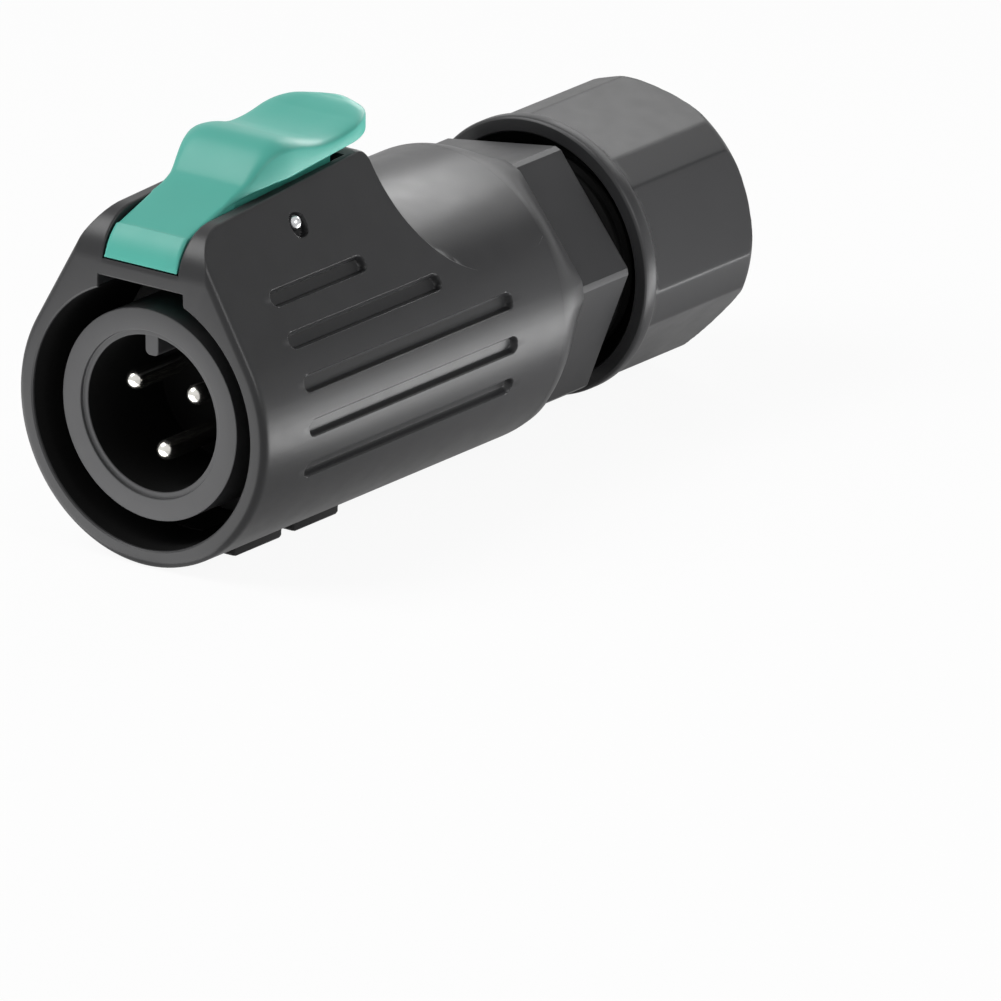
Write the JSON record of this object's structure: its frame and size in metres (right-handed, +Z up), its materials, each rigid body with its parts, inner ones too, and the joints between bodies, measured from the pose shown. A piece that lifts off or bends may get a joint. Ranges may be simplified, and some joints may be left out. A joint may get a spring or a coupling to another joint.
{
  "type": "waterproof circular connector",
  "caption": "Push-lock cable plug: round plastic body, pins in a keyed barrel, teal rocker latch, hexagonal cable gland.",
  "frame": {"origin": "centre of the front face of the insulator's mating barrel", "axes": "+X back along the plug's axis to the cable, +Z up through the latch, +Y to the left seen from the mating end"},
  "size_m": [0.0755, 0.028, 0.0368],
  "materials": {
    "charcoal_plastic": "satin charcoal moulded plastic",
    "insulator_plastic": "satin charcoal moulded plastic",
    "teal_plastic": "satin teal moulded plastic",
    "steel": "bright steel",
    "plated_contact": "silver-plated brass",
    "rubber": "matte black rubber"
  },
  "bodies": {
    "plug": {"shell": "charcoal_plastic", "latch_pin": "steel", "latch_spring": "steel", "insulator": "insulator_plastic", "terminal_block": "insulator_plastic", "contact_1": "plated_contact", "contact_2": "plated_contact", "contact_3": "plated_contact", "terminal_screws": "steel", "mating_gasket": "rubber", "retaining_ring": "insulator_plastic", "rear_sleeve": "charcoal_plastic", "sleeve_seal": "rubber", "clamp_cage": "insulator_plastic", "cable_seal": "rubber"},
    "latch": {"latch": "teal_plastic"},
    "washer": {"slip_washer": "steel"},
    "nut": {"gland_nut": "charcoal_plastic"}
  },
  "joints": [
    {"name": "latch_press", "type": "hinge", "parent": "plug", "child": "latch", "pos_m": [0.0128, 0, 0.01593], "axis": [0, 1, 0], "range_deg": [0, 5], "stiffness_Nm_per_rad": 0.2, "springref_deg": -9.74, "deforming": ["latch_spring"]},
    {"name": "nut_travel", "type": "slide", "parent": "plug", "child": "washer", "axis": [1, 0, 0], "range_m": [0, 0.0061]},
    {"name": "nut_turn", "type": "hinge", "parent": "washer", "child": "nut", "pos_m": [0.06, 0, 0], "axis": [1, 0, 0], "range_deg": [0, 1440]}
  ],
  "couplings": [
    {"joint": "nut_travel", "follows": "nut_turn", "m_per_rad": 0.00023873}
  ]
}
